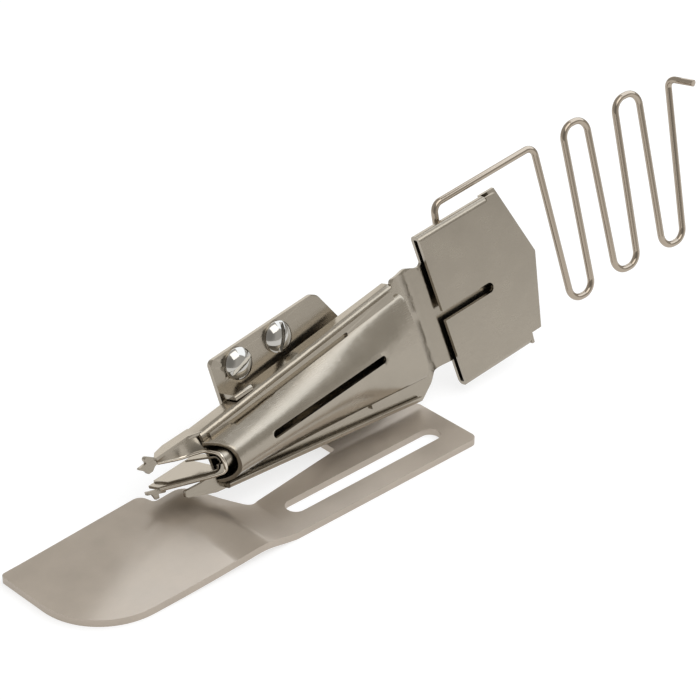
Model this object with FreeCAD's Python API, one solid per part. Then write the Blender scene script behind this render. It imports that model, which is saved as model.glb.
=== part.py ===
import FreeCAD, Part
import math
import os

# Bias binder attachment for a sewing machine, in millimetres.
#
# The object stands as it is screwed to a machine bed: +Z is up and the underside of the
# base plate is Z = 0. The origin is the centre of the long adjusting slot, and X runs
# along that slot. The folding head leans over the plate, so it is modelled in a frame of
# its own: u runs along the head, v up its back sheet, and n points out of the front face
# of that sheet. The head's frame has its origin at the sheet's lower right corner.

V = FreeCAD.Vector

# Base plate, one pressed sheet with a long slot and an ear bent up at the back
PLATE_THICK = 1.5
SLOT_LENGTH = 40.2
SLOT_WIDTH = 4.3
END_MARGIN = 4.2
FRONT_MARGIN_RIGHT = 5.05
FRONT_MARGIN_CREST = 4.65
FRONT_MARGIN_LEFT = 3.85
PLATE_CORNER = 1.6
LOBE_LENGTH = 51.4
LOBE_CORNER = 14.5
LOBE_TIP = 0.7
LOBE_REAR_Y = 20.4
CREST_FRONT = 1.4
CREST_REAR = 2.3
PRESS_START_X = -22.5
CREST_X = -32.5
EAR_THICK = PLATE_THICK
EAR_BEND = 1.2
EAR_LEFT_X = 0.4

# Folding head, where it stands and what its sheet is
HEAD_LEAN = 17.9
HEAD_PITCH = 8.1
HEAD_X = 23.0
HEAD_Y = 8.3
HEAD_LIFT = 1.2
SHEET = 0.8
HEAD_LEFT_U = -50.5
LOW_LEFT_V = 10.3
LOW_RIGHT_V = 0.4
LOW_TIP_U = -58.2
TOP_LEFT_V = 22.6
TOP_RIGHT_V = 25.9
FOLD_RIGHT_U = 3.0
FLANGE_LEFT = 4.3
FLANGE_RIGHT = 2.8
LIP_DEPTH_LEFT = 3.0
LIP_DEPTH_RIGHT = 2.0
LIP_RISE = 1.2
BEND_RADIUS = 1.1
ROLL_INSET = 0.7
ROLL_RIGHT_U = 0.5
DISH_LEFT_U = 4.4
DISH_DEPTH = 0.7
STRIP_FOLD_N = -1.9
STRIP_REAR_N = -4.9
STRIP_TIP_U = -60.4
STRIP_THICK = 0.6

# Entry guide, a flat folded tube for the tape
TAPE_WIDTH = 32.6
TAPE_GAP = 1.2
GUIDE_YAW = 5.9
GUIDE_LEFT_U = 12.0
GUIDE_LOW_V = -2.2
GUIDE_LENGTH = 23.2
GUIDE_POINT = 4.4
GUIDE_FOLD_LENGTH = 18.5
GUIDE_FRONT_INSET = 2.0
GUIDE_SLOT_LENGTH = 13.6
GUIDE_SLOT_WIDTH = 2.2
GUIDE_SLOT_DROP = 0.8
GUIDE_FOLD_RADIUS = 1.1
NECK_LOW_V = 3.6
NECK_HIGH_V = 26.6

# Outer cone, the formed cover that folds the tape
CONE_SHEET = 0.7
CONE_RIGHT_U = 4.2
CONE_LEFT_U = -49.0
CONE_LOW_LEFT_V = 11.6
CONE_LOW_RIGHT_V = 4.0
CONE_TOP_LEFT_V = 20.9
CONE_TOP_RIGHT_V = 23.4
CONE_RISE_LEFT = 5.9
CONE_RISE_RIGHT = 1.7
CONE_SLOT_LENGTH = 31.2
CONE_SLOT_WIDTH = 1.6
CONE_SLOT_START = 11.2
SLIT_WIDTH = 0.8
LUG_LENGTH = 5.6
LUG_OVERLAP = 1.8
LUG_DROP = 0.7
LUG_RIGHT_START = 16.0
LUG_RIGHT_END = 8.8

# Inner scroll, the tongue that the tape turns round
SCROLL_SHEET = 0.6
SCROLL_TOP_V = 19.1
SCROLL_LOW_V = 14.7
SCROLL_NOSE_N = 4.7
SCROLL_RIGHT_U = -30.0
SCROLL_RIGHT_LOW_V = 14.0
SCROLL_RIGHT_NOSE_N = 2.8
SCROLL_TIP_U = -60.6
SCROLL_DEPTH = 8.0
TONGUE_SHEET = 0.4
TONGUE_GAP = 0.5
TONGUE_REACH = 4.5

# Mounting bracket and its two screws
BRACKET_THICK = 1.0
BRACKET_FRONT_N = -5.0
BRACKET_LEFT_U = -40.1
BRACKET_LENGTH = 31.8
BRACKET_TOP_V = 31.4
BRACKET_LOW_V = 23.3
SCREW_SPACING = 10.7
SCREW_LEFT_U = -34.2
SCREW_V = 28.0
SCREW_HEAD_DIA = 6.4
SCREW_HEAD_RISE = 2.0
SCREW_DIA = 3.5
SCREW_SLOT_WIDTH = 0.9
SCREW_SLOT_DEPTH = 1.0
SCREW_TURN_LEFT = 16
SCREW_TURN_RIGHT = 62
ADJUST_SLOT = 2.6

# Tape guide wire
WIRE_DIA = 1.5
BEAD_RADIUS = 2.1
BEAD_LENGTH = 4.2
BEAD_START = 1.0
BEAD_DEPTH = 1.95

SLOT_HALF = SLOT_LENGTH / 2
PLATE_RIGHT_X = SLOT_HALF + END_MARGIN
FRONT_RIGHT_Y = -SLOT_WIDTH / 2 - FRONT_MARGIN_RIGHT
FRONT_CREST_Y = -SLOT_WIDTH / 2 - FRONT_MARGIN_CREST
FRONT_LEFT_Y = -SLOT_WIDTH / 2 - FRONT_MARGIN_LEFT
LOBE_LEFT_X = -SLOT_HALF - LOBE_LENGTH


def head_frame():
    """The placement that takes head coordinates u, v, n to X, Y, Z."""
    lean = math.radians(HEAD_LEAN)
    pitch = math.radians(HEAD_PITCH)
    rise = V(0, math.sin(lean), math.cos(lean))
    along = V(1, 0, 0) * math.cos(pitch) + rise * math.sin(pitch)
    up = rise * math.cos(pitch) - V(1, 0, 0) * math.sin(pitch)
    out = along.cross(up)
    matrix = FreeCAD.Matrix(along.x, up.x, out.x, HEAD_X,
                            along.y, up.y, out.y, HEAD_Y,
                            along.z, up.z, out.z, PLATE_THICK + HEAD_LIFT,
                            0, 0, 0, 1)
    return FreeCAD.Placement(matrix)


HEAD = head_frame()


def placed(shape):
    """A copy of a head piece, moved from head coordinates to its real place."""
    moved = shape.copy()
    moved.Placement = HEAD.multiply(moved.Placement)
    return moved


def rounded_wire(corners, z=0.0):
    """A closed wire through (x, y, radius) corners, each corner rounded by its radius."""
    count = len(corners)
    ends = []
    for i in range(count):
        here = V(corners[i][0], corners[i][1], z)
        radius = corners[i][2] if len(corners[i]) > 2 else 0.0
        before = V(corners[i - 1][0], corners[i - 1][1], z) - here
        after = V(corners[(i + 1) % count][0], corners[(i + 1) % count][1], z) - here
        if radius <= 0:
            ends.append((here, None, here))
            continue
        turn = before.getAngle(after)
        reach = radius / math.tan(turn / 2)
        before.normalize()
        after.normalize()
        middle = before + after
        middle.normalize()
        nearest = radius / math.sin(turn / 2) - radius
        ends.append((here + before * reach, here + middle * nearest, here + after * reach))
    edges = []
    for i in range(count):
        start, bulge, stop = ends[i]
        if bulge is not None:
            edges.append(Part.Arc(start, bulge, stop).toShape())
        next_start = ends[(i + 1) % count][0]
        if (next_start - stop).Length > 1e-6:
            edges.append(Part.LineSegment(stop, next_start).toShape())
    return Part.Wire(edges)


def sheet(corners, z, thick):
    """A flat plate with the outline of the given corners, from z up by its thickness."""
    return Part.Face(rounded_wire(corners, z)).extrude(V(0, 0, thick))


def slot_cutter(x, y, length, width, angle, z, depth):
    """A round-ended slot that starts at (x, y) and runs along an angle in the XY plane."""
    half = width / 2
    body = Part.makeBox(length, width, depth, V(0, -half, 0))
    near = Part.makeCylinder(half, depth, V(0, 0, 0))
    far = Part.makeCylinder(half, depth, V(length, 0, 0))
    cutter = body.fuse([near, far]).removeSplitter()
    cutter.rotate(V(0, 0, 0), V(0, 0, 1), math.degrees(angle))
    cutter.translate(V(x, y, z))
    return cutter


def between(value, left, right, left_value, right_value):
    """The value on a straight line from (left, left_value) to (right, right_value)."""
    return left_value + (right_value - left_value) * (value - left) / (right - left)


def low_v(u):
    """Lower folded edge of the back sheet."""
    return between(u, HEAD_LEFT_U, 0, LOW_LEFT_V, LOW_RIGHT_V)


def top_v(u):
    """Upper folded edge of the back sheet."""
    return between(u, HEAD_LEFT_U, FOLD_RIGHT_U, TOP_LEFT_V, TOP_RIGHT_V)


def flange_depth(u):
    return between(u, HEAD_LEFT_U, FOLD_RIGHT_U, FLANGE_LEFT, FLANGE_RIGHT)


def cone_low(u):
    return between(u, CONE_LEFT_U, CONE_RIGHT_U, CONE_LOW_LEFT_V, CONE_LOW_RIGHT_V)


def cone_top(u):
    return between(u, CONE_LEFT_U, CONE_RIGHT_U, CONE_TOP_LEFT_V, CONE_TOP_RIGHT_V)


def cone_rise(u):
    return between(u, CONE_LEFT_U, CONE_RIGHT_U, CONE_RISE_LEFT, CONE_RISE_RIGHT)


def front_y(x):
    """Front edge of the base plate between its right end and the crest of the lobe."""
    return between(x, CREST_X, PLATE_RIGHT_X, FRONT_CREST_Y, FRONT_RIGHT_Y)


def lip_depth(u):
    """How far the rolled lower edge stands in front of the back sheet's rear face."""
    return between(u, HEAD_LEFT_U, ROLL_RIGHT_U, LIP_DEPTH_LEFT, LIP_DEPTH_RIGHT)


def smooth(value):
    """An S-shaped step from 0 to 1."""
    value = min(max(value, 0.0), 1.0)
    return value * value * (3 - 2 * value)


def press_height(x, y):
    """How far the pressed lobe stands above the flat part of the base plate."""
    if x >= PRESS_START_X:
        return 0.0
    across = min(max((y - FRONT_LEFT_Y) / (LOBE_REAR_Y - FRONT_LEFT_Y), 0.0), 1.0)
    crest = CREST_FRONT + (CREST_REAR - CREST_FRONT) * across
    if x > CREST_X:
        return crest * smooth((PRESS_START_X - x) / (PRESS_START_X - CREST_X))
    run = (x - LOBE_LEFT_X) / (CREST_X - LOBE_LEFT_X)
    hollow = 2.6 - 1.4 * across
    return crest * max(run, 0.0) ** hollow * (1 + 0.35 * (1 - run))


def pressed_sheet():
    """The lobe's sheet as a pressed surface, thickened straight up."""
    x_start = LOBE_LEFT_X - 2
    columns = 25
    rows = 9
    low_y = FRONT_CREST_Y - 1
    high_y = LOBE_REAR_Y + 1
    grid = []
    for i in range(columns):
        x = x_start + (PRESS_START_X - x_start) * i / (columns - 1)
        line = []
        for j in range(rows):
            y = low_y + (high_y - low_y) * j / (rows - 1)
            line.append(V(x, y, press_height(x, y)))
        grid.append(line)
    surface = Part.BSplineSurface()
    surface.interpolate(grid)
    return surface.toShape().extrude(V(0, 0, PLATE_THICK))


def lobe_outline():
    """Plan of the lobe: square-cut at the rear, one large round corner at the front."""
    return [
        (PRESS_START_X, front_y(PRESS_START_X)),
        (PRESS_START_X, 6.1),
        (-24.6, 5.6, 2.0),
        (-28.2, 10.6, 9.0),
        (-32.0, 17.3, 4.0),
        (-38.6, 17.2, 1.0),
        (-39.6, 20.6, 2.0),
        (LOBE_LEFT_X - LOBE_TIP, LOBE_REAR_Y, 0.9),
        (LOBE_LEFT_X, FRONT_LEFT_Y, LOBE_CORNER),
        (CREST_X, FRONT_CREST_Y),
    ]


def ear_wire():
    """Section of the plate's flat part with the ear bent up out of its rear edge."""
    lean = math.radians(HEAD_LEAN)
    ear_n = BRACKET_FRONT_N - BRACKET_THICK
    head_base = HEAD.multVec(V(0, 0, ear_n))
    rise = V(0, math.sin(lean), math.cos(lean))
    out = V(0, math.cos(lean), -math.sin(lean))
    corner = head_base + rise * ((PLATE_THICK - head_base.z) / rise.z)
    corner.x = 0
    turn = math.pi / 2 - lean
    reach = EAR_BEND * math.tan(turn / 2)
    inner_start = V(0, corner.y - reach, PLATE_THICK)
    inner_end = corner + rise * reach
    centre = V(0, inner_start.y, PLATE_THICK + EAR_BEND)
    middle = V(0, math.sin(turn / 2), -math.cos(turn / 2))
    outer = EAR_BEND + EAR_THICK
    ear_top = HEAD.multVec(V(BRACKET_LEFT_U, BRACKET_TOP_V, ear_n)).z
    high = corner + rise * ((ear_top - corner.z) / rise.z + 6)
    start_y = SLOT_WIDTH / 2 + 1
    edges = [
        Part.LineSegment(V(0, start_y, PLATE_THICK), inner_start).toShape(),
        Part.Arc(inner_start, centre + middle * EAR_BEND, inner_end).toShape(),
        Part.LineSegment(inner_end, high).toShape(),
        Part.LineSegment(high, high + out * EAR_THICK).toShape(),
        Part.LineSegment(high + out * EAR_THICK, inner_end + out * EAR_THICK).toShape(),
        Part.Arc(inner_end + out * EAR_THICK, centre + middle * outer,
                 V(0, inner_start.y, PLATE_THICK - EAR_THICK)).toShape(),
        Part.LineSegment(V(0, inner_start.y, 0), V(0, start_y, 0)).toShape(),
        Part.LineSegment(V(0, start_y, 0), V(0, start_y, PLATE_THICK)).toShape(),
    ]
    return Part.Wire(edges)


def ear_outline():
    """Face of the ear in head coordinates: it rises at the right and runs left to the screws."""
    left = BRACKET_LEFT_U + 1.5
    right = BRACKET_LEFT_U + BRACKET_LENGTH
    top = BRACKET_TOP_V - 0.9
    return [
        (EAR_LEFT_X - HEAD_X + 2, -20),
        (PLATE_RIGHT_X - HEAD_X - 1, -20),
        (PLATE_RIGHT_X - HEAD_X - 1, 12, 4),
        (right - 1.5, top - 3.5, 3),
        (right - 5.5, top, 2),
        (left, top, 1.5),
        (left, SCREW_V - 5, 2),
        (EAR_LEFT_X - HEAD_X + 3.5, 17.5, 5),
    ]


def base_plate():
    flat_corners = [
        (PRESS_START_X, front_y(PRESS_START_X)),
        (PLATE_RIGHT_X, FRONT_RIGHT_Y, PLATE_CORNER),
        (PLATE_RIGHT_X, 10.6, 1.5),
        (EAR_LEFT_X, 10.6),
        (EAR_LEFT_X, 8.9, 0.8),
        (PRESS_START_X, 6.1),
    ]
    flat = sheet(flat_corners, 0, PLATE_THICK)
    lobe = pressed_sheet().common(sheet(lobe_outline(), 0, 10))
    length = PLATE_RIGHT_X - 0.6 - EAR_LEFT_X + 60
    bent = Part.Face(ear_wire()).extrude(V(length, 0, 0))
    bent.translate(V(EAR_LEFT_X - 60, 0, 0))
    ear_prism = placed(sheet(ear_outline(), BRACKET_FRONT_N - 12, 30))
    foot = Part.makeBox(PLATE_RIGHT_X - EAR_LEFT_X - 1.5, 30, 3.2, V(EAR_LEFT_X, 0, 0))
    ear = bent.common(ear_prism.fuse(foot))
    plate = flat.fuse([lobe, ear]).removeSplitter()
    slot = slot_cutter(-SLOT_HALF + SLOT_WIDTH / 2, 0, SLOT_LENGTH - SLOT_WIDTH,
                       SLOT_WIDTH, 0, -1, 4)
    plate = plate.cut(slot)
    for u in screw_places():
        hole = Part.makeCylinder(SCREW_DIA / 2, 20, V(u, SCREW_V, -20))
        plate = plate.cut(placed(hole))
    return plate


def screw_places():
    return [SCREW_LEFT_U, SCREW_LEFT_U + SCREW_SPACING]


def mounting_bracket():
    """Plate behind the head, with one foot bent forward onto the head's upper flange."""
    right = BRACKET_LEFT_U + BRACKET_LENGTH
    back = BRACKET_FRONT_N - BRACKET_THICK
    plate = sheet([
        (BRACKET_LEFT_U - 0.6, BRACKET_LOW_V - 3, 1.5),
        (right + 1.6, BRACKET_LOW_V - 3, 1.5),
        (right, BRACKET_LOW_V + 1.2),
        (right - 3.3, BRACKET_TOP_V, 2.4),
        (BRACKET_LEFT_U, BRACKET_TOP_V, 1.2),
    ], back, BRACKET_THICK)
    foot_left = BRACKET_LEFT_U + 0.1
    foot_low = top_v(foot_left + 4.5)
    foot_reach = -BRACKET_FRONT_N - SHEET
    foot = Part.makeBox(4.5, BRACKET_THICK, foot_reach, V(foot_left, foot_low, BRACKET_FRONT_N))
    front_edges = [edge for edge in foot.Edges
                   if abs(edge.CenterOfMass.z - (BRACKET_FRONT_N + foot_reach)) < 1e-6
                   and abs(edge.CenterOfMass.y - foot_low - BRACKET_THICK) < 1e-6]
    foot = foot.makeFillet(BRACKET_THICK * 0.6, front_edges)
    bracket = plate.fuse(foot).removeSplitter()
    for u in screw_places():
        slot = slot_cutter(u - ADJUST_SLOT / 2, SCREW_V, ADJUST_SLOT, SCREW_DIA + 0.4,
                           0, back - 1, BRACKET_THICK + 2)
        bracket = bracket.cut(slot)
    return bracket


def clamp_screw(u, slot_turn):
    """Slotted oval-head screw through the bracket into the ear."""
    head_radius = SCREW_HEAD_DIA / 2
    rim = 0.7
    dome = SCREW_HEAD_RISE - rim
    length = BRACKET_THICK + EAR_THICK + 1.5
    profile = Part.Wire([
        Part.LineSegment(V(0, 0, -length), V(SCREW_DIA / 2, 0, -length)).toShape(),
        Part.LineSegment(V(SCREW_DIA / 2, 0, -length), V(SCREW_DIA / 2, 0, 0)).toShape(),
        Part.LineSegment(V(SCREW_DIA / 2, 0, 0), V(head_radius, 0, 0)).toShape(),
        Part.LineSegment(V(head_radius, 0, 0), V(head_radius, 0, rim)).toShape(),
        Part.Arc(V(head_radius, 0, rim), V(head_radius * 0.62, 0, rim + dome * 0.74),
                 V(0, 0, rim + dome)).toShape(),
        Part.LineSegment(V(0, 0, rim + dome), V(0, 0, -length)).toShape(),
    ])
    screw = Part.Face(profile).revolve(V(0, 0, 0), V(0, 0, 1), 360)
    slot = Part.makeBox(SCREW_HEAD_DIA + 2, SCREW_SLOT_WIDTH, SCREW_SLOT_DEPTH + 1,
                        V(-head_radius - 1, -SCREW_SLOT_WIDTH / 2,
                          SCREW_HEAD_RISE - SCREW_SLOT_DEPTH))
    slot.rotate(V(0, 0, 0), V(0, 0, 1), slot_turn)
    screw = screw.cut(slot)
    screw.translate(V(u, SCREW_V, BRACKET_FRONT_N))
    return screw


def guide_high_v():
    return GUIDE_LOW_V + TAPE_WIDTH + 2 * SHEET


def dished_strip():
    """Back sheet before trimming: flat behind the cone, pressed hollow where the neck is."""
    span = GUIDE_LEFT_U - DISH_LEFT_U
    left = LOW_TIP_U - 1
    right = GUIDE_LEFT_U + 0.1
    edges = []
    for n in (0, -SHEET):
        steps = [DISH_LEFT_U + span * i / 8 for i in range(9)]
        points = [V(u, 0, n - DISH_DEPTH * math.sin(math.pi * (u - DISH_LEFT_U) / span) ** 2)
                  for u in steps]
        hollow = Part.BSplineCurve()
        hollow.interpolate(Points=points, InitialTangent=V(1, 0, 0), FinalTangent=V(1, 0, 0))
        flat = Part.LineSegment(V(left, 0, n), V(DISH_LEFT_U, 0, n))
        rest = Part.LineSegment(V(GUIDE_LEFT_U, 0, n), V(right, 0, n))
        edges.extend([flat.toShape(), hollow.toShape(), rest.toShape()])
    edges.append(Part.LineSegment(V(left, 0, 0), V(left, 0, -SHEET)).toShape())
    edges.append(Part.LineSegment(V(right, 0, 0), V(right, 0, -SHEET)).toShape())
    section = Part.Wire(Part.__sortEdges__(edges))
    return Part.Face(section).extrude(V(0, TAPE_WIDTH + 10, 0))


def back_sheet():
    """Sheet behind the cone, with a lip past the mouth and the neck that runs to the guide."""
    outline = sheet([
        (HEAD_LEFT_U, SCROLL_LOW_V - 0.9),
        (HEAD_LEFT_U - 3.9, SCROLL_LOW_V - 0.9),
        (LOW_TIP_U, SCROLL_LOW_V - 0.4, 0.3),
        (LOW_TIP_U - 0.3, SCROLL_LOW_V - 1.6, 0.5),
        (HEAD_LEFT_U - 3.4, LOW_LEFT_V + 0.8, 1.2),
        (HEAD_LEFT_U - 1.4, LOW_LEFT_V, 0.8),
        (1.2, low_v(1.2), 0.6),
        (4.6, 2.2, 3.0),
        (6.8, NECK_LOW_V + 0.3, 1.0),
        (GUIDE_LEFT_U + 1, NECK_LOW_V),
        (GUIDE_LEFT_U + 1, NECK_HIGH_V + 1.2),
        (GUIDE_LEFT_U - 0.5, NECK_HIGH_V - 1.4, 1.2),
        (8.2, NECK_HIGH_V, 2.5),
        (FOLD_RIGHT_U, NECK_HIGH_V, 1.0),
        (FOLD_RIGHT_U, top_v(FOLD_RIGHT_U) - BEND_RADIUS),
        (HEAD_LEFT_U, top_v(HEAD_LEFT_U) - BEND_RADIUS),
    ], -5, 10)
    return dished_strip().common(outline)


def turned(shape):
    """A guide piece, turned a little towards the front about the bend at the neck."""
    shape.rotate(V(GUIDE_LEFT_U, 0, 0), V(0, 1, 0), -GUIDE_YAW)
    return shape


def across(u, corners):
    """A closed wire of (v, n, radius) corners that lies across the head at u."""
    wire = rounded_wire(corners)
    wire.Placement = FreeCAD.Placement(FreeCAD.Matrix(0, 0, 1, u, 1, 0, 0, 0,
                                                      0, 1, 0, 0, 0, 0, 0, 1))
    return wire


def loft_bar(sections):
    """A straight-ruled solid through closed sections that lie across the head's length."""
    return Part.makeLoft([across(u, corners) for u, corners in sections], True, True)


def upper_flange():
    """Stiffening flange bent back from the upper edge of the back sheet."""
    inner = BEND_RADIUS - SHEET
    sections = []
    for u in (HEAD_LEFT_U, FOLD_RIGHT_U):
        high = top_v(u)
        deep = -flange_depth(u)
        low = high - 2 * BEND_RADIUS
        sections.append((u, [(low, 0), (high, 0, BEND_RADIUS), (high, deep),
                             (high - SHEET, deep), (high - SHEET, -SHEET, inner),
                             (low, -SHEET)]))
    return loft_bar(sections)


def lower_roll():
    """Lower edge of the back sheet, bent forward and turned up in a narrow hem."""
    inner = BEND_RADIUS - SHEET
    sections = []
    for u in (HEAD_LEFT_U + ROLL_INSET, ROLL_RIGHT_U):
        low = low_v(u)
        front = lip_depth(u) - SHEET
        sections.append((u, [(low, -SHEET), (low, front, BEND_RADIUS), (low + LIP_RISE, front),
                             (low + LIP_RISE, front - SHEET),
                             (low + SHEET, front - SHEET, inner), (low + SHEET, -SHEET)]))
    return loft_bar(sections)


def upper_lip():
    """Rear part of the upper flange: it runs on past the mouth and folds down into the scroll."""
    high = top_v(HEAD_LEFT_U)
    tip_high = high - 0.3
    fold = STRIP_FOLD_N
    # The flat strip, as a line round it seen from above.
    strip = Part.makePolygon([
        V(HEAD_LEFT_U + 0.4, high, fold + 1.6),
        V(HEAD_LEFT_U + 0.4, high, STRIP_REAR_N + 0.2),
        V(HEAD_LEFT_U - 5.9, high, STRIP_REAR_N),
        V(STRIP_TIP_U + 1.4, high, STRIP_REAR_N + 0.8),
        V(STRIP_TIP_U, high, fold - 0.5),
        V(STRIP_TIP_U + 0.2, high, fold),
        V(HEAD_LEFT_U - 1.8, high, fold),
        V(HEAD_LEFT_U + 0.4, high, fold + 1.6),
    ])
    top = Part.Face(strip).extrude(V(0, -STRIP_THICK, 0))
    # The wall slopes down and forward from the strip's front edge, and starts just inside it.
    root_v = high - 0.1
    root_n = fold - 0.05
    stations = [(STRIP_TIP_U + 0.2, tip_high - 1.1, fold - 0.5),
                (HEAD_LEFT_U - 4.1, SCROLL_TOP_V, fold - 0.5),
                (HEAD_LEFT_U - 0.3, SCROLL_TOP_V, -0.1)]
    sections = []
    for u, low, n in stations:
        sections.append((u, [(root_v, root_n), (root_v, root_n - STRIP_THICK),
                             (low, n - STRIP_THICK), (low, n)]))
    tip_wall = loft_bar(sections[:2])
    mouth_wall = loft_bar(sections[1:])
    # The small forked catch that the strip ends in.
    tip = STRIP_TIP_U - 0.1
    finger = sheet([
        (tip + 0.7, tip_high), (tip - 1.2, tip_high + 1.4), (tip - 2.1, tip_high + 1.5, 0.5),
        (tip - 1.8, tip_high + 0.2), (tip - 4.0, tip_high + 0.1, 0.2),
        (tip - 2.6, tip_high - 1.0), (tip - 2.2, tip_high - 1.9, 0.3),
        (tip - 1.1, tip_high - 1.9), (tip - 0.3, tip_high - 1.3), (tip + 0.7, tip_high - 1.0),
    ], fold - 0.5 - SHEET, SHEET)
    return top.fuse([tip_wall, mouth_wall, finger])


def guide_fold(edge, inward):
    """One folded edge of the guide at v = edge, with its leaves going inward by one step."""
    front = TAPE_GAP + SHEET
    reach = 2 * GUIDE_FOLD_RADIUS
    inner = GUIDE_FOLD_RADIUS - SHEET
    stop = edge + inward * reach
    wall = edge + inward * SHEET
    corners = [(stop, -SHEET), (edge, -SHEET, GUIDE_FOLD_RADIUS),
               (edge, front, GUIDE_FOLD_RADIUS), (stop, front), (stop, TAPE_GAP),
               (wall, TAPE_GAP, inner), (wall, 0, inner), (stop, 0)]
    return loft_bar([(GUIDE_LEFT_U, corners), (GUIDE_LEFT_U + GUIDE_FOLD_LENGTH, corners)])


def entry_guide():
    """Flat folded tube: back sheet, a fold at top and bottom, and a slotted front face."""
    high = guide_high_v()
    low = GUIDE_LOW_V
    left = GUIDE_LEFT_U
    right = left + GUIDE_LENGTH
    middle = (low + high) / 2
    fold_end = left + GUIDE_FOLD_LENGTH
    start = GUIDE_FOLD_RADIUS + 0.5
    back = sheet([
        (left, low + start), (fold_end, low + start), (fold_end, low),
        (fold_end + 0.8, low + 1.2), (right, low + 1.2), (right + GUIDE_POINT, middle, 1.0),
        (right - 0.8, high), (fold_end, high), (fold_end, high - start), (left, high - start),
    ], -SHEET, SHEET)
    front_right = right - GUIDE_FRONT_INSET
    front = sheet([
        (left, low + start), (fold_end, low + start), (fold_end, low),
        (fold_end + 0.6, low), (fold_end + 0.8, low + 2.6),
        (front_right + GUIDE_POINT, middle, 1.0), (front_right, high - 0.2, 0.4),
        (fold_end, high - 0.2), (fold_end, high - start), (left, high - start),
    ], TAPE_GAP, SHEET)
    folds = [guide_fold(low, 1), guide_fold(high, -1)]
    guide = back.fuse([front] + folds).removeSplitter()
    slot = slot_cutter(left - 3, middle - GUIDE_SLOT_DROP,
                       GUIDE_SLOT_LENGTH + 3 - GUIDE_SLOT_WIDTH / 2,
                       GUIDE_SLOT_WIDTH, 0, TAPE_GAP - 0.3, SHEET + 1)
    guide = guide.cut(slot)
    return turned(guide)


def binder_body():
    body = back_sheet().fuse([upper_flange(), lower_roll(), upper_lip(), entry_guide()])
    return body.removeSplitter()


def arch_wire(u, inset):
    """Closed section of the cone at u: a curved arch that stands on the back sheet."""
    low = cone_low(u) + inset
    high = cone_top(u) - inset
    rise = cone_rise(u) - inset
    square = between(u, CONE_LEFT_U, CONE_RIGHT_U, 2.4, 2.9)
    centre = (low + high) / 2
    half = (high - low) / 2
    points = []
    steps = 12
    for i in range(steps + 1):
        angle = math.pi * i / steps
        c = math.cos(angle)
        s = math.sin(angle)
        points.append(V(u, centre + half * math.copysign(abs(c) ** (2 / square), c),
                        rise * max(s, 0.0) ** (2 / square)))
    curve = Part.BSplineCurve()
    curve.interpolate(points)
    chord = Part.LineSegment(points[-1], points[0])
    return Part.Wire([curve.toShape(), chord.toShape()])


def outer_cone():
    """Formed cover: an arch that flattens to the right, on a margin and two weld lugs."""
    left = CONE_LEFT_U - 4
    right = CONE_RIGHT_U + 1
    outer = Part.makeLoft([arch_wire(left, 0), arch_wire(right, 0)], True, True)
    inner = Part.makeLoft([arch_wire(left, CONE_SHEET), arch_wire(right, CONE_SHEET)],
                          True, True)
    arch = outer.cut(inner)
    margin_drop = 0.9
    margin = sheet([
        (CONE_LEFT_U, cone_top(CONE_LEFT_U) - CONE_SHEET),
        (CONE_RIGHT_U - 2, cone_top(CONE_RIGHT_U) - CONE_SHEET),
        (CONE_RIGHT_U - 2, top_v(CONE_RIGHT_U - 2) - margin_drop, 0.5),
        (CONE_LEFT_U, top_v(CONE_LEFT_U) - margin_drop, 0.3),
    ], 0, CONE_SHEET)
    lugs = []
    for start, end in ((CONE_LEFT_U + 0.3, CONE_LEFT_U + LUG_LENGTH),
                       (CONE_RIGHT_U - LUG_RIGHT_START, CONE_RIGHT_U - LUG_RIGHT_END)):
        sections = []
        for u in (start, end):
            low = cone_low(u) - LUG_DROP
            high = cone_low(u) + LUG_OVERLAP
            sections.append((u, [(low, 0), (low, CONE_SHEET), (high, CONE_SHEET), (high, 0)]))
        lugs.append(loft_bar(sections).cut(inner))
    cone = arch.fuse([margin] + lugs)
    mouth = Part.makePolygon([
        V(CONE_LEFT_U - 20, 0, 12), V(CONE_LEFT_U + 3.9, 0, 12), V(CONE_LEFT_U + 1.1, 0, 5.7),
        V(CONE_LEFT_U - 2.0, 0, 0), V(CONE_LEFT_U - 2.0, 0, -4), V(CONE_LEFT_U - 20, 0, -4),
        V(CONE_LEFT_U - 20, 0, 12),
    ])
    cone = cone.cut(Part.Face(mouth).extrude(V(0, 40, 0)))
    end_trim = sheet([
        (CONE_LEFT_U - 12, -5), (CONE_RIGHT_U - 2.5, -5),
        (CONE_RIGHT_U - 2.5, cone_low(CONE_RIGHT_U) - 0.5, 0.5),
        (CONE_RIGHT_U, cone_low(CONE_RIGHT_U) + 0.6, 3),
        (CONE_RIGHT_U, cone_top(CONE_RIGHT_U) - 0.2, 3.5),
        (CONE_RIGHT_U - 3.2, top_v(CONE_RIGHT_U), 0.5),
        (CONE_LEFT_U - 12, top_v(CONE_LEFT_U)),
    ], -2, 14)
    cone = cone.common(end_trim)
    return cone.cut(cone_slots()).removeSplitter()


def cone_slots():
    """The long centre slot on the crest, and the thin slit along each side of the arch."""
    start = CONE_LEFT_U + CONE_SLOT_START
    end = start + CONE_SLOT_LENGTH
    v_start = (cone_low(start) + cone_top(start)) / 2
    v_end = (cone_low(end) + cone_top(end)) / 2
    centre = slot_cutter(start, v_start, CONE_SLOT_LENGTH, CONE_SLOT_WIDTH,
                         math.atan2(v_end - v_start, end - start), 0.8, 8)
    slit_left = CONE_LEFT_U + LUG_LENGTH
    slit_right = CONE_RIGHT_U - LUG_RIGHT_START
    slits = []
    for edge in (cone_top, cone_low):
        turn = math.atan2(edge(slit_right) - edge(slit_left), slit_right - slit_left)
        slits.append(slot_cutter(slit_left, edge(slit_left), slit_right - slit_left,
                                 SLIT_WIDTH, turn, -0.5, 2.5))
    return [centre] + slits


def scroll_low(u):
    return between(u, HEAD_LEFT_U, SCROLL_RIGHT_U, SCROLL_LOW_V, SCROLL_RIGHT_LOW_V)


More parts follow.
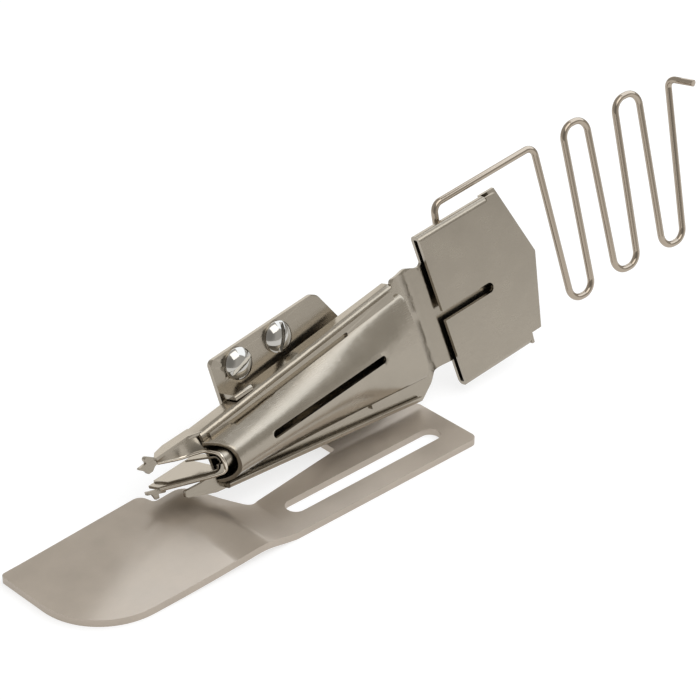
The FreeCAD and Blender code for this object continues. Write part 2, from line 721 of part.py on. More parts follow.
def scroll_nose(u):
    return between(u, HEAD_LEFT_U, SCROLL_RIGHT_U, SCROLL_NOSE_N, SCROLL_RIGHT_NOSE_N)


def u_section(u, top, low, nose):
    """U section at u: two limbs that run back from a round nose, closed at the rear."""
    radius = (top - low) / 2
    middle = (top + low) / 2
    back = -SCROLL_DEPTH - 2
    return Part.Wire([
        Part.LineSegment(V(u, top, back), V(u, top, nose - radius)).toShape(),
        Part.Arc(V(u, top, nose - radius), V(u, middle, nose),
                 V(u, low, nose - radius)).toShape(),
        Part.LineSegment(V(u, low, nose - radius), V(u, low, back)).toShape(),
        Part.LineSegment(V(u, low, back), V(u, top, back)).toShape(),
    ])


def u_sheet(left, right, gap, thick):
    """A U sheet inside the scroll's outer skin: gap away at top and nose, resting below."""
    solids = []
    for wall in (0.0, thick):
        rest = SCROLL_SHEET if gap > 0 else 0.0
        ends = [u_section(u, SCROLL_TOP_V - gap - wall, scroll_low(u) + rest + wall,
                          scroll_nose(u) - gap - wall) for u in (left, right)]
        solids.append(Part.makeLoft(ends, True, True))
    return solids[0].cut(solids[1])


def trimmed(skin, top_plan, low_plan):
    """Cut a U sheet with one outline in u and n for its upper half and one for its lower."""
    middle = (SCROLL_TOP_V + SCROLL_LOW_V) / 2
    keep = []
    for plan, reach in ((top_plan, 6), (low_plan, -6)):
        corners = [V(u, middle, n) for u, n in plan]
        outline = Part.makePolygon(corners + [corners[0]])
        keep.append(Part.Face(outline).extrude(V(0, reach, 0)))
    return skin.common(keep[0].fuse(keep[1]))


def inner_scroll():
    """Tongue that the tape is turned round: a U sheet cut off slantwise at the mouth."""
    skin = u_sheet(SCROLL_TIP_U - 6, SCROLL_RIGHT_U, 0.0, SCROLL_SHEET)
    mouth = HEAD_LEFT_U - 0.2
    inside = [(mouth, 0.05), (SCROLL_RIGHT_U, 0.05), (SCROLL_RIGHT_U, 9), (mouth, 9),
              (mouth, SCROLL_NOSE_N)]
    top_plan = [(mouth, 0.0)] + inside + [(mouth - 0.2, 2.4), (mouth - 0.5, 0.0)]
    low_plan = ([(mouth, -SCROLL_DEPTH)] + inside
                + [(mouth - 1.9, 3.2), (SCROLL_TIP_U + 0.4, -5.2), (SCROLL_TIP_U, -SCROLL_DEPTH)])
    scroll = trimmed(skin, top_plan, low_plan)
    tip = SCROLL_TIP_U
    low = SCROLL_LOW_V
    tab = sheet([
        (tip - 2.6, low + 1.6), (tip - 2.7, low + 0.9, 0.2), (tip - 1.6, low + 0.5),
        (tip - 1.2, low - 0.9), (tip - 0.4, low - 1.0), (tip - 0.2, low - 0.2),
        (tip + 1.4, low - 0.8, 0.2), (tip + 1.6, low + 0.3), (tip + 0.2, low + SCROLL_SHEET),
    ], -5.6, SCROLL_SHEET)
    return scroll.fuse(tab).removeSplitter()


def inner_tongue():
    """Second, thinner U that rests inside the scroll and keeps the tape's edges apart."""
    left = SCROLL_TIP_U - 2
    skin = u_sheet(left, SCROLL_RIGHT_U, TONGUE_GAP + SCROLL_SHEET, TONGUE_SHEET)
    mouth = HEAD_LEFT_U - 0.2
    inside = [(mouth, 0.05), (SCROLL_RIGHT_U, 0.05), (SCROLL_RIGHT_U, 9), (mouth, 9)]
    top_plan = [(mouth, -1.0)] + inside + [(mouth - 0.1, 2.0), (mouth - TONGUE_REACH * 0.7, -3.4),
                                           (mouth - TONGUE_REACH * 0.2, -3.6)]
    low_plan = ([(mouth, -SCROLL_DEPTH)] + inside
                + [(mouth - 1.2, 2.6), (SCROLL_TIP_U + 2.0, -4.2), (SCROLL_TIP_U + 1.4, -SCROLL_DEPTH)])
    return trimmed(skin, top_plan, low_plan)


# Corners of the guide wire as u, v, n and bend radius, from behind the guide to its hook
WIRE_N = -SHEET - WIRE_DIA / 2
WIRE_ROUTE = [
    (18.0, 24.0, WIRE_N, 0), (20.2, 34.9, WIRE_N, 2.2), (48.0, 34.9, WIRE_N, 2.0),
    (45.8, -0.6, WIRE_N, 2.9), (51.9, -1.2, WIRE_N, 2.9), (56.4, 35.0, WIRE_N, 3.0),
    (63.1, 34.7, WIRE_N, 3.0), (59.1, -0.8, WIRE_N, 3.0), (65.6, -1.4, WIRE_N, 3.0),
    (71.5, 34.2, WIRE_N, 3.1), (78.5, 33.9, WIRE_N, 3.1), (73.2, -1.9, WIRE_N, 2.9),
    (79.4, -2.5, WIRE_N, 2.9), (87.3, 32.3, WIRE_N, 1.7), (88.4, 31.1, 5.0, 0),
]


def tape_guide_wire():
    """Zigzag wire that hangs the tape: one long arm and three loops, bent by hand."""
    radii = [stop[3] for stop in WIRE_ROUTE]
    route = [V(*stop[:3]) for stop in WIRE_ROUTE]
    edges = []
    here = route[0]
    for i in range(1, len(route) - 1):
        corner = route[i]
        before = route[i - 1] - corner
        after = route[i + 1] - corner
        turn = before.getAngle(after)
        before.normalize()
        after.normalize()
        reach = radii[i] / math.tan(turn / 2)
        middle = before + after
        middle.normalize()
        start = corner + before * reach
        stop = corner + after * reach
        bulge = corner + middle * (radii[i] / math.sin(turn / 2) - radii[i])
        if (start - here).Length > 1e-4:
            edges.append(Part.LineSegment(here, start).toShape())
        edges.append(Part.Arc(start, bulge, stop).toShape())
        here = stop
    edges.append(Part.LineSegment(here, route[-1]).toShape())
    path = Part.Wire(edges)
    heading = route[1] - route[0]
    section = Part.Wire(Part.Circle(route[0], heading, WIRE_DIA / 2).toShape())
    return turned(path.makePipeShell([section], True, True))


def solder_bead():
    """Bead that straddles the start of the wire and sits on the back of the entry guide."""
    start, corner = WIRE_ROUTE[0], WIRE_ROUTE[1]
    angle = math.degrees(math.atan2(corner[0] - start[0], corner[1] - start[1]))
    drum = Part.makeCylinder(BEAD_RADIUS, BEAD_LENGTH, V(0, BEAD_START, 0), V(0, 1, 0))
    half = Part.makeBox(4 * BEAD_RADIUS, 2 * BEAD_LENGTH, BEAD_DEPTH,
                        V(-2 * BEAD_RADIUS, 0, -BEAD_DEPTH))
    tunnel = Part.makeBox(WIRE_DIA * 0.6, 2 * BEAD_LENGTH, WIRE_DIA,
                          V(-WIRE_DIA * 0.3, 0, -WIRE_DIA / 2))
    bead = drum.common(half).cut(tunnel)
    bead.rotate(V(0, 0, 0), V(0, 0, 1), -angle)
    bead.translate(V(start[0], start[1], -SHEET))
    return turned(bead).cut(tape_guide_wire())


NODES = {
    "base_plate": base_plate,
    "mounting_bracket": lambda: placed(mounting_bracket()),
    "clamp_screw_left": lambda: placed(clamp_screw(screw_places()[0], SCREW_TURN_LEFT)),
    "clamp_screw_right": lambda: placed(clamp_screw(screw_places()[1], SCREW_TURN_RIGHT)),
    "binder_body": lambda: placed(binder_body()),
    "outer_cone": lambda: placed(outer_cone()),
    "inner_scroll": lambda: placed(inner_scroll()),
    "inner_tongue": lambda: placed(inner_tongue()),
    "tape_guide_wire": lambda: placed(tape_guide_wire()),
    "wire_solder_bead": lambda: placed(solder_bead()),
}

os.makedirs("parts", exist_ok=True)
for name, make in NODES.items():
    shape = make()
    solids = shape.Solids
    print(name, "solids", len(solids), "volume", round(shape.Volume, 1), "valid", shape.isValid())
    shape.exportStep("parts/" + name + ".step")
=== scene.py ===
# %% [markdown]
# # Bias binder attachment
#
# This little folder of polished steel sheet is screwed to a sewing machine's bed. A tape is
# threaded through the zigzag wire, lies flat in the entry guide, is folded over in the long
# cone and leaves at the narrow mouth wrapped round the cloth's edge. All solid pieces come
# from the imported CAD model, already in place and at real size in metres. What is left for
# Blender is the camera, the light, the steel itself, the small rounded edges that make sheet
# metal look like sheet metal, and two small pieces that finish the mouth.

import math

import bpy
from mathutils import Matrix, Vector


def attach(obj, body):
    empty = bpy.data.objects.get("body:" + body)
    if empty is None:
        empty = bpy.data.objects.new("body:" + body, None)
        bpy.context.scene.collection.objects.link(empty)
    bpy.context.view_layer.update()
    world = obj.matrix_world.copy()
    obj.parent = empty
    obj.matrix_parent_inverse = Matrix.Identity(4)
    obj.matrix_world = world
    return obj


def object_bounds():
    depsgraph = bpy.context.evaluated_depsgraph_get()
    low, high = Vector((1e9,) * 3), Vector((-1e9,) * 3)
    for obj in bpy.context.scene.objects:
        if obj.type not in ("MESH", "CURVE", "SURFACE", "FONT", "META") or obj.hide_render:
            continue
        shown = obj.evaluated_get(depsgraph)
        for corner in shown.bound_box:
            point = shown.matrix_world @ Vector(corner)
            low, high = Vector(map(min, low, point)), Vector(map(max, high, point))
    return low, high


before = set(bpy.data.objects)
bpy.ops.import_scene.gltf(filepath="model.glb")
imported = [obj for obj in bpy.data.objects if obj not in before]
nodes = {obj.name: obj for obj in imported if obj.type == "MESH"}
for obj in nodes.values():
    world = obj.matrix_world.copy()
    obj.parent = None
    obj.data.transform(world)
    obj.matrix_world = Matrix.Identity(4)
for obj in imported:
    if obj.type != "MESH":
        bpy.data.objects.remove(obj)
cad_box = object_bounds()
print("nodes:", sorted(nodes))

# %% [markdown]
# ## Units and directions
# The frame is in metres, but a part this small is easier to think of in millimetres, so a name
# that ends in `_MM` holds millimetres and is multiplied by `MM` where it is used. The camera,
# the lamps and the room's bright and dark places are all placed by a compass bearing and a
# height, so one function turns such a pair into a direction. A second function puts each new
# object into the scene.

# %% Millimetres and directions
MM = 0.001


def toward(azimuth_deg, elevation_deg):
    """A direction: azimuth 0 is the front, 90 the right, and elevation goes up."""
    azimuth = math.radians(azimuth_deg)
    elevation = math.radians(elevation_deg)
    return Vector((math.sin(azimuth) * math.cos(elevation),
                   -math.cos(azimuth) * math.cos(elevation), math.sin(elevation)))


def put(name, data):
    """Make an object from its data and link it to the scene."""
    made = bpy.data.objects.new(name, data)
    bpy.context.scene.collection.objects.link(made)
    return made


print("the object is", [round((high - low) / MM, 1) for low, high in zip(*cad_box)], "mm")
print("the front is", [round(v, 2) for v in toward(0, 0)])

# %% [markdown]
# ## Camera
# The photograph looks down at the binder from the front left with a long lens. The numbers
# were found by matching points of the plate and the wire, so they belong to this object. The
# focal length was found in pixels of the photograph: over the photograph's width, it gives the
# lens for a sensor of any width.

# %% Camera
PHOTO_WIDTH_PX = 700
FOCAL_PX = 2300
SENSOR_MM = 36.0
CAMERA_AZIMUTH_DEG = -42.943
CAMERA_ELEVATION_DEG = 31.414
CAMERA_DISTANCE_MM = 487.29
CAMERA_TARGET = Vector((28.294, 34.590, 1.5)) * MM
NEAREST_SEEN_MM = 10.0

camera_data = bpy.data.cameras.new("photo_camera")
camera_data.sensor_fit = "HORIZONTAL"
camera_data.sensor_width = SENSOR_MM
camera_data.lens = FOCAL_PX / PHOTO_WIDTH_PX * SENSOR_MM
camera_data.clip_start = NEAREST_SEEN_MM * MM
camera = put("photo_camera", camera_data)
back = toward(CAMERA_AZIMUTH_DEG, CAMERA_ELEVATION_DEG)
right = toward(CAMERA_AZIMUTH_DEG + 90, 0)
place = Matrix((right, back.cross(right), back)).transposed().to_4x4()
place.translation = CAMERA_TARGET + back * CAMERA_DISTANCE_MM * MM
camera.matrix_world = place
bpy.context.scene.camera = camera
print("lens", round(camera_data.lens, 2), "mm at", [round(v, 4) for v in place.translation])

# %% [markdown]
# ## Colour and node helpers
# Colours are written as the hex values a picture editor shows. Blender works with linear
# light, so one function converts them. A second function adds one shader node with its
# settings and links, which keeps each material readable as a recipe.

# %% Helpers for materials
def colour(code):
    """An sRGB hex code as linear red, green, blue and alpha."""
    channels = [int(code[i:i + 2], 16) / 255 for i in (1, 3, 5)]
    linear = [c / 12.92 if c <= 0.04045 else ((c + 0.055) / 1.055) ** 2.4 for c in channels]
    return (*linear, 1.0)


def add(tree, kind, settings=None, inputs=None, links=None):
    """Add a node: settings are its properties, inputs its values, links its sockets."""
    node = tree.nodes.new(kind)
    for name, value in (settings or {}).items():
        setattr(node, name, value)
    for name, value in (inputs or {}).items():
        node.inputs[name].default_value = value
    for name, source in (links or {}).items():
        tree.links.new(source, node.inputs[name])
    return node


def new_material(name):
    """An empty node material and its tree."""
    material = bpy.data.materials.new(name)
    material.use_nodes = True
    material.node_tree.nodes.clear()
    return material, material.node_tree


print("a mid grey is", round(colour("#808080")[0], 3), "in linear light")

# %% [markdown]
# ## Pressed lobe
# The plate's round end isn't quite flat. The press left a low crest across it, from which the
# sheet falls away at about ten degrees to the front and three to the rear, and it only shows in
# the way it bends the light. It could be a displacement, but the lobe's outline stays where the
# CAD has it, so a bump is enough: it tilts the surface's normal and leaves the mesh alone. Two
# straight falls meet at the crest, a smooth maximum rounds it, and the height fades out where
# the step down to the slotted part begins.

# %% Pressed lobe
CREST_X_MM = -52.0
CREST_Y_MM = 8.0
CREST_TOWARD = (0.48, -0.88, 0.0)
CREST_EASE_MM = 5.0
FALL_FRONT = 0.18
FALL_REAR = 0.05
LOBE_END_MM = -39.0
LOBE_FADE_MM = 9.0


def pressed_lobe(tree, coords):
    """A bump for the lobe: a low crest across it, from which it falls to the front and rear."""
    offset = Vector(CREST_TOWARD).dot(Vector((CREST_X_MM, CREST_Y_MM, 0))) * MM
    across = add(tree, "ShaderNodeVectorMath", {"operation": "DOT_PRODUCT"}, {1: CREST_TOWARD},
                 {0: coords.outputs["Object"]})
    ahead = add(tree, "ShaderNodeMath", {"operation": "SUBTRACT"}, {1: offset},
                {0: across.outputs["Value"]})
    front = add(tree, "ShaderNodeMath", {"operation": "SMOOTH_MAX"},
                {1: 0.0, 2: CREST_EASE_MM * MM}, {0: ahead.outputs[0]})
    fall = add(tree, "ShaderNodeMath", {"operation": "MULTIPLY_ADD"},
               {1: -FALL_FRONT - FALL_REAR}, {0: front.outputs[0]})
    rear = add(tree, "ShaderNodeMath", {"operation": "MULTIPLY"}, {1: FALL_REAR},
               {0: ahead.outputs[0]})
    tree.links.new(rear.outputs[0], fall.inputs[2])
    on_lobe = add(tree, "ShaderNodeMapRange", {"interpolation_type": "SMOOTHSTEP"},
                  {"From Min": LOBE_END_MM * MM, "From Max": (LOBE_END_MM + LOBE_FADE_MM) * MM,
                   "To Min": 1.0, "To Max": 0.0},
                  {"Value": add(tree, "ShaderNodeSeparateXYZ", {}, {},
                                {"Vector": coords.outputs["Object"]}).outputs["X"]})
    height = add(tree, "ShaderNodeMath", {"operation": "MULTIPLY"}, {},
                 {0: fall.outputs[0], 1: on_lobe.outputs["Result"]})
    bump = add(tree, "ShaderNodeBump", {}, {"Strength": 1.0, "Distance": 1.0},
               {"Height": height.outputs[0]})
    return bump.outputs["Normal"]


print("crest across the lobe at", CREST_X_MM, CREST_Y_MM, "mm")

# %% [markdown]
# ## Satin steel sheet
# The plate and the folder are cold-rolled steel sheet, plated with nickel, which gives the
# warm grey. Rolling leaves very fine lines along the strip. A noise that is stretched along X
# draws them, a coarser noise clouds them, and both together let the roughness wander. The same
# clouds shift the tone by a few percent, as handled and tumbled plating does. The lines are too
# fine to count in the render, so they are drawn coarser than real ones. The folder was polished
# and is pure metal. The plate was only tumbled, so a fifth of its light is scattered by a dull
# skin, which keeps it from mirroring the folder above it like glass.

# %% Steel sheet
LINE_STRETCH = (0.04, 1.0, 1.0)
LINE_STRENGTH = 0.03
LINE_DEPTH_MM = 0.02
CLOUD_MM = 7.0
TONE_SHARE = 0.13
MARKS_FROM, MARKS_TO = 0.1, 0.45
SMOOTHER, ROUGHER = 0.05, 0.06
PURE_METAL = 1.0
TUMBLED_METAL = 0.8


def steel_sheet(name, tint, roughness, line_mm, metallic, pressed=False):
    """Rolled and plated steel with fine lines along X and faint cloudy marks."""
    material, tree = new_material(name)
    coords = add(tree, "ShaderNodeTexCoord")
    squeezed = add(tree, "ShaderNodeMapping", {}, {"Scale": LINE_STRETCH},
                   {"Vector": coords.outputs["Object"]})
    lines = add(tree, "ShaderNodeTexNoise", {},
                {"Scale": 1 / (line_mm * MM), "Detail": 3.0, "Roughness": 0.6},
                {"Vector": squeezed.outputs["Vector"]})
    clouds = add(tree, "ShaderNodeTexNoise", {},
                 {"Scale": 1 / (CLOUD_MM * MM), "Detail": 4.0, "Roughness": 0.55},
                 {"Vector": coords.outputs["Object"]})
    mixed = add(tree, "ShaderNodeMath", {"operation": "MULTIPLY"}, {},
                {0: lines.outputs["Fac"], 1: clouds.outputs["Fac"]})
    rough = add(tree, "ShaderNodeMapRange", {},
                {"From Min": MARKS_FROM, "From Max": MARKS_TO,
                 "To Min": roughness - SMOOTHER, "To Max": roughness + ROUGHER},
                {"Value": mixed.outputs["Value"]})
    light, dark = [[c * (1 + share) for c in colour(tint)[:3]] + [1.0]
                   for share in (TONE_SHARE, -TONE_SHARE)]
    tone = add(tree, "ShaderNodeMix", {"data_type": "RGBA"}, {6: dark, 7: light},
               {0: clouds.outputs["Fac"]})
    bump = add(tree, "ShaderNodeBump", {},
               {"Strength": LINE_STRENGTH, "Distance": LINE_DEPTH_MM * MM},
               {"Height": lines.outputs["Fac"]})
    if pressed:
        tree.links.new(pressed_lobe(tree, coords), bump.inputs["Normal"])
    steel = add(tree, "ShaderNodeBsdfPrincipled", {}, {"Metallic": metallic},
                {"Base Color": tone.outputs[2], "Roughness": rough.outputs["Result"],
                 "Normal": bump.outputs["Normal"]})
    add(tree, "ShaderNodeOutputMaterial", {}, {}, {"Surface": steel.outputs["BSDF"]})
    return material


plate_steel = steel_sheet("nickel_plated_sheet", "#B9AEA1", 0.40, 0.25, TUMBLED_METAL,
                          pressed=True)
folder_steel = steel_sheet("polished_folder_sheet", "#A1998C", 0.24, 0.2, PURE_METAL)
print("made", plate_steel.name, "and", folder_steel.name)

# %% [markdown]
# ## Screws, wire and solder
# The screws are turned and chrome plated, so they are almost mirrors. The wire was drawn
# through a die, which leaves lines along it, and bending it by hand leaves it bright. The
# mouth's rolled edge gets a lighter tone than the sheet: a painted highlight, which makes the
# bright line along that edge.

# %% Screws, wire and solder
GRAIN_STRENGTH = 0.1
GRAIN_FROM, GRAIN_TO = 0.3, 0.7
SMOOTHEST, ROUGHEST = 0.8, 1.25


def plain_metal(name, tint, roughness, grain_mm, depth_mm):
    """A plated metal with a fine grain that only shows as a broken highlight."""
    material, tree = new_material(name)
    coords = add(tree, "ShaderNodeTexCoord")
    grain = add(tree, "ShaderNodeTexNoise", {},
                {"Scale": 1 / (grain_mm * MM), "Detail": 3.0},
                {"Vector": coords.outputs["Object"]})
    rough = add(tree, "ShaderNodeMapRange", {},
                {"From Min": GRAIN_FROM, "From Max": GRAIN_TO,
                 "To Min": roughness * SMOOTHEST, "To Max": roughness * ROUGHEST},
                {"Value": grain.outputs["Fac"]})
    bump = add(tree, "ShaderNodeBump", {},
               {"Strength": GRAIN_STRENGTH, "Distance": depth_mm * MM},
               {"Height": grain.outputs["Fac"]})
    metal = add(tree, "ShaderNodeBsdfPrincipled", {},
                {"Base Color": colour(tint), "Metallic": PURE_METAL},
                {"Roughness": rough.outputs["Result"], "Normal": bump.outputs["Normal"]})
    add(tree, "ShaderNodeOutputMaterial", {}, {}, {"Surface": metal.outputs["BSDF"]})
    return material


screw_chrome = plain_metal("polished_chrome", "#B9B6B0", 0.07, 1.2, 0.002)
drawn_wire = plain_metal("drawn_steel_wire", "#A69A8B", 0.10, 0.6, 0.002)
# The light tone of the mouth's edge is a painted highlight along the rolled edge.
mouth_edge_painted_highlight = plain_metal("rolled_edge_painted_highlight", "#D2C8B9", 0.14, 0.5, 0.002)
solder = plain_metal("soft_solder", "#C6C4BD", 0.45, 0.8, 0.05)
print("made", screw_chrome.name, drawn_wire.name, mouth_edge_painted_highlight.name, solder.name)

# %% [markdown]
# ## Dressing the CAD pieces
# A sheared edge is never sharp: it catches a thin line of light, and that line is what tells
# the eye that the sheet has a thickness. The CAD mesh itself stays as it is. A weld modifier
# joins its faces along the edges, a bevel rounds them, and weighted normals keep the flats
# flat. The stamped plate is tumbled until its edges are half round, and gets the widest
# bevel with the most steps. The thin folder sheets keep a narrow one.

# %% Dress each piece
WELD_GAP_MM = 0.002
SHARP_DEG = 32


def dress(name, material, edge_mm, segments=2):
    """Give a CAD piece its material and rounded edges, as modifiers."""
    piece = nodes[name]
    piece.data.materials.clear()
    piece.data.materials.append(material)
    piece.data.shade_smooth()
    weld = piece.modifiers.new("join_faces", "WELD")
    weld.merge_threshold = WELD_GAP_MM * MM
    bevel = piece.modifiers.new("rounded_edges", "BEVEL")
    bevel.width = edge_mm * MM
    bevel.segments = segments
    bevel.limit_method = "ANGLE"
    bevel.angle_limit = math.radians(SHARP_DEG)
    normals = piece.modifiers.new("flat_flats", "WEIGHTED_NORMAL")
    normals.keep_sharp = True


dress("base_plate", plate_steel, 0.68, segments=5)
dress("mounting_bracket", folder_steel, 0.25)
dress("clamp_screw_left", screw_chrome, 0.15)
dress("clamp_screw_right", screw_chrome, 0.15)
dress("binder_body", folder_steel, 0.22)
dress("outer_cone", folder_steel, 0.2)
dress("inner_scroll", folder_steel, 0.18)
dress("inner_tongue", folder_steel, 0.1)
dress("tape_guide_wire", drawn_wire, 0.2)
dress("wire_solder_bead", solder, 0.3)
print("dressed", len(nodes), "pieces")

# %% [markdown]
# ## Web behind the mouth
# The wall that folds down from the upper lip doesn't stop at the mouth. It runs on a little
# behind the trough's sheet, so no light comes through beside the cone. It is a small bent strip
# of the same steel, thinned to half where it tucks in between the sheets. Three rows of three
# points along the wall give its form, and a solidify modifier gives it that thickness. The
# points are millimetres in the leaning head's own directions: along it, up it and out of it.

# %% Web behind the mouth
HEAD_LEAN = math.radians(17.9)
HEAD_PITCH = math.radians(8.1)
HEAD_START = Vector((23.0, 8.3, 2.7)) * MM
WEB_THICK_MM = 0.4
WEB_ROWS = [(-50.9, [(22.1, -1.95), (20.7, -1.2), (19.15, -0.5)]),
            (-50.6, [(22.1, -1.95), (20.7, -1.3), (19.15, -0.95)]),
            (-48.9, [(22.1, -1.9), (20.7, -1.4), (19.15, -1.1)])]


def head_point(along_mm, up_mm, out_mm):
    """A point given in the leaning head's own directions."""
    rise = Vector((0, math.sin(HEAD_LEAN), math.cos(HEAD_LEAN)))
    level = Vector((1, 0, 0))
    along = level * math.cos(HEAD_PITCH) + rise * math.sin(HEAD_PITCH)
    up = rise * math.cos(HEAD_PITCH) - level * math.sin(HEAD_PITCH)
    return HEAD_START + (along * along_mm + up * up_mm + along.cross(up) * out_mm) * MM


def mouth_web():
    """The strip of sheet that closes the corner between the upper lip and the cone."""
    points = [head_point(along_mm, up_mm, out_mm)
              for along_mm, row in WEB_ROWS for up_mm, out_mm in row]
    faces = [(i + j, i + j + 1, i + j + 4, i + j + 3) for i in (0, 3) for j in (0, 1)]
    mesh = bpy.data.meshes.new("mouth_web")
    mesh.from_pydata(points, [], faces)
    mesh.materials.append(folder_steel)
    mesh.shade_smooth()
    web = put("mouth_web", mesh)
    smooth = web.modifiers.new("smooth_bend", "SUBSURF")
    smooth.levels = smooth.render_levels = 2
    smooth.boundary_smooth = "PRESERVE_CORNERS"
    thick = web.modifiers.new("sheet_thickness", "SOLIDIFY")
    thick.thickness = WEB_THICK_MM * MM
    thick.offset = 0.0
    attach(web, "root")


mouth_web()
web_along_mm, web_row = WEB_ROWS[1]
web_middle = head_point(web_along_mm, *web_row[1])
print("web at", [round(v / MM, 1) for v in web_middle], "mm")

# %% [markdown]
# ## Rolled edge of the mouth
# Cloth and tape slide over the edge of the mouth, so it isn't left as a sheared edge: it is
# rolled and polished, and shows as one bright line that runs from the upper lip's tip round the
# scroll's nose to the lower tip. A smooth curve with a round section along the sheets' edges
# gives that line, and sits half in the sheets that it finishes. Its tone is lighter than the
# sheet's, a painted highlight that brightens the line.

# %% Rolled edge of the mouth
EDGE_RADIUS_MM = 0.42
EDGE_ROUTE = [(-60.0, 21.25, -2.7), (-57.4, 20.2, -2.7), (-54.6, 19.15, -2.7),
              (-52.6, 19.1, -1.6), (-50.9, 18.95, -0.2), (-50.6, 18.85, 2.2),
              (-50.6, 18.7, 4.2), (-50.6, 16.9, 4.7), (-50.7, 15.1, 4.3),
              (-52.4, 14.95, 3.0), (-56.2, 14.95, -1.1), (-60.0, 14.95, -5.2)]


def rolled_edge():
    """A round edge along the upper lip, round the scroll's nose and to the lower tip, toned
    light as a painted highlight.
    """
    data = bpy.data.curves.new("rolled_mouth_edge", "CURVE")
    data.dimensions = "3D"
    line = data.splines.new("NURBS")
    line.points.add(len(EDGE_ROUTE) - 1)
    for point, place_mm in zip(line.points, EDGE_ROUTE):
        point.co = (*head_point(*place_mm), 1.0)
    line.order_u = 3
    line.use_endpoint_u = True
    line.resolution_u = 8
    data.bevel_depth = EDGE_RADIUS_MM * MM
    data.bevel_resolution = 3
    data.use_fill_caps = True
    # The light tone of this material is a painted highlight on the edge.
    data.materials.append(mouth_edge_painted_highlight)
    edge = put("rolled_mouth_edge", data)
    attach(edge, "root")


rolled_edge()
print("rolled edge with", len(EDGE_ROUTE), "points")

# %% [markdown]
# ## Floor
# The picture has a pure white ground. A sheet of paper in this light would come out a little
# under white and its shadow quite dark, so the paper is given a weak glow. The camera, the
# metal's reflections and anything seen through a gap meet the same white floor, and the
# object still shades the part of the colour that comes from real light. The sheet is many
# metres wide, so that a low view doesn't look over its edge.

# %% Floor
FLOOR_SIZE_M = 20.0
FLOOR_DROP_MM = 0.02
PAPER_GREY = "#AFAFAF"
PAPER_GLOW = 0.66


def make_floor():
    """A large flat sheet just under the object."""
    mesh = bpy.data.meshes.new("floor")
    half = FLOOR_SIZE_M / 2
    mesh.from_pydata([(-half, -half, 0), (half, -half, 0), (half, half, 0), (-half, half, 0)],
                     [], [(0, 1, 2, 3)])
    floor = put("floor", mesh)
    floor.location.z = cad_box[0][2] - FLOOR_DROP_MM * MM
    material, tree = new_material("white_studio_paper")
    paper = add(tree, "ShaderNodeBsdfDiffuse", {}, {"Color": colour(PAPER_GREY)})
    glow = add(tree, "ShaderNodeEmission", {}, {"Color": colour("#FFFFFF"),
                                                "Strength": PAPER_GLOW})
    lit = add(tree, "ShaderNodeAddShader", {}, {}, {0: paper.outputs[0], 1: glow.outputs[0]})
    ray = add(tree, "ShaderNodeLightPath")
    looks = add(tree, "ShaderNodeMath", {"operation": "MAXIMUM"}, {},
                {0: ray.outputs["Is Camera Ray"], 1: ray.outputs["Is Glossy Ray"]})
    looks = add(tree, "ShaderNodeMath", {"operation": "MAXIMUM"}, {},
                {0: looks.outputs[0], 1: ray.outputs["Is Transmission Ray"]})
    both = add(tree, "ShaderNodeMixShader", {}, {},
               {0: looks.outputs[0], 1: paper.outputs[0], 2: lit.outputs[0]})
    add(tree, "ShaderNodeOutputMaterial", {}, {}, {"Surface": both.outputs[0]})
    mesh.materials.append(material)
    return floor


floor = make_floor()
print("floor at", round(floor.location.z / MM, 2), "mm, under the plate")

# %% [markdown]
# ## The room
# Polished metal has hardly any colour of its own: it shows what stands round it. The room is a
# light tent of white cloth. On the photographer's side it has an opening, and the sheets that
# face it turn a darker grey there. A second, small spot low at the back is the lit end of the
# tent, which the bracket shows. A spot is a smooth step in the angle between a direction in the
# sky and the spot's middle: full inside the first angle, gone outside the second.

# %% Room
TENT_WHITE = "#F6F4F0"
TENT_LEVEL = 0.64
OPENING_AT = toward(-45, 28)
OPENING_DEG = (12, 45)
OPENING_DIMS = 0.30
BACK_END_AT = toward(151, 10)
BACK_END_DEG = (5, 22)
BACK_END_ADDS = 0.9


def soft_spot(tree, sky, middle, inner_deg, outer_deg, level):
    """A round spot in the sky: `level` inside the inner angle, and 0 outside the outer one."""
    near = add(tree, "ShaderNodeVectorMath", {"operation": "DOT_PRODUCT"}, {1: middle}, {0: sky})
    step = add(tree, "ShaderNodeMapRange", {"interpolation_type": "SMOOTHSTEP"},
               {"From Min": math.cos(math.radians(outer_deg)),
                "From Max": math.cos(math.radians(inner_deg)), "To Min": 0.0, "To Max": level},
               {"Value": near.outputs["Value"]})
    return step.outputs["Result"]


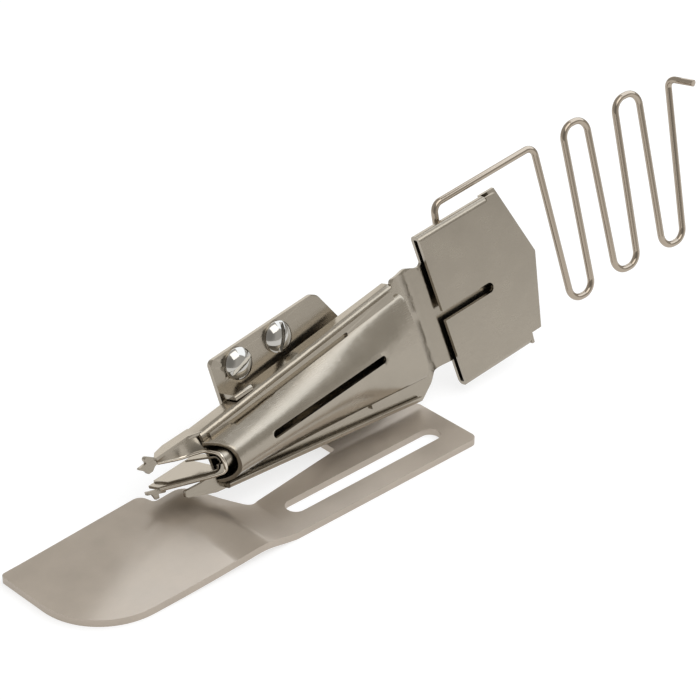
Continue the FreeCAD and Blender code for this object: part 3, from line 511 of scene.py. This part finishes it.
world = bpy.data.worlds.new("light_tent")
bpy.context.scene.world = world
world.use_nodes = True
tree = world.node_tree
tree.nodes.clear()
sky = add(tree, "ShaderNodeTexCoord").outputs["Generated"]
opening = soft_spot(tree, sky, OPENING_AT, *OPENING_DEG, OPENING_DIMS)
back_end = soft_spot(tree, sky, BACK_END_AT, *BACK_END_DEG, BACK_END_ADDS)
cloth = add(tree, "ShaderNodeMath", {"operation": "SUBTRACT"}, {0: TENT_LEVEL}, {1: opening})
level = add(tree, "ShaderNodeMath", {"operation": "ADD"}, {}, {0: cloth.outputs[0], 1: back_end})
studio = add(tree, "ShaderNodeBackground", {}, {"Color": colour(TENT_WHITE)},
             {"Strength": level.outputs[0]})
add(tree, "ShaderNodeOutputWorld", {}, {}, {"Surface": studio.outputs[0]})
print("tent with", len(tree.nodes), "nodes")

# %% [markdown]
# ## Lamps
# A large softbox stands close by on the right. Its edges are what the cone and the plate
# draw: the bright band along the cone's crest ends where the softbox ends. A square one high
# in front gives the white square on each screw's dome and the bright line along the folds. Two
# lamps that are large for the object keep the shadow faint. The brightness is how bright a
# lamp looks in a mirror. Its power is that brightness times pi times its area.

# %% Lamps
LAMP_DISTANCE_MM = 500


def softbox(name, direction, width_mm, height_mm, brightness, tint):
    """A flat lamp that faces the object from one direction, with its width level."""
    data = bpy.data.lights.new(name, "AREA")
    data.shape = "RECTANGLE"
    data.size = width_mm * MM
    data.size_y = height_mm * MM
    data.energy = brightness * math.pi * data.size * data.size_y
    data.color = colour(tint)[:3]
    lamp = put(name, data)
    lamp.location = direction * LAMP_DISTANCE_MM * MM
    lamp.rotation_euler = (-lamp.location).to_track_quat("-Z", "Y").to_euler()
    return lamp


right_softbox = softbox("right_softbox", toward(90, 43), 700, 394, 1.55, "#EAF3FF")
front_softbox = softbox("front_softbox", toward(6, 63), 360, 360, 1.75, "#FFFFFF")
print("lamps of", round(right_softbox.data.energy, 2), "and",
      round(front_softbox.data.energy, 2), "watts")

# %% [markdown]
# ## View transform
# The view transform is set to Standard so that a white ground stays white.

# %% Finish
bpy.context.scene.view_settings.view_transform = "Standard"
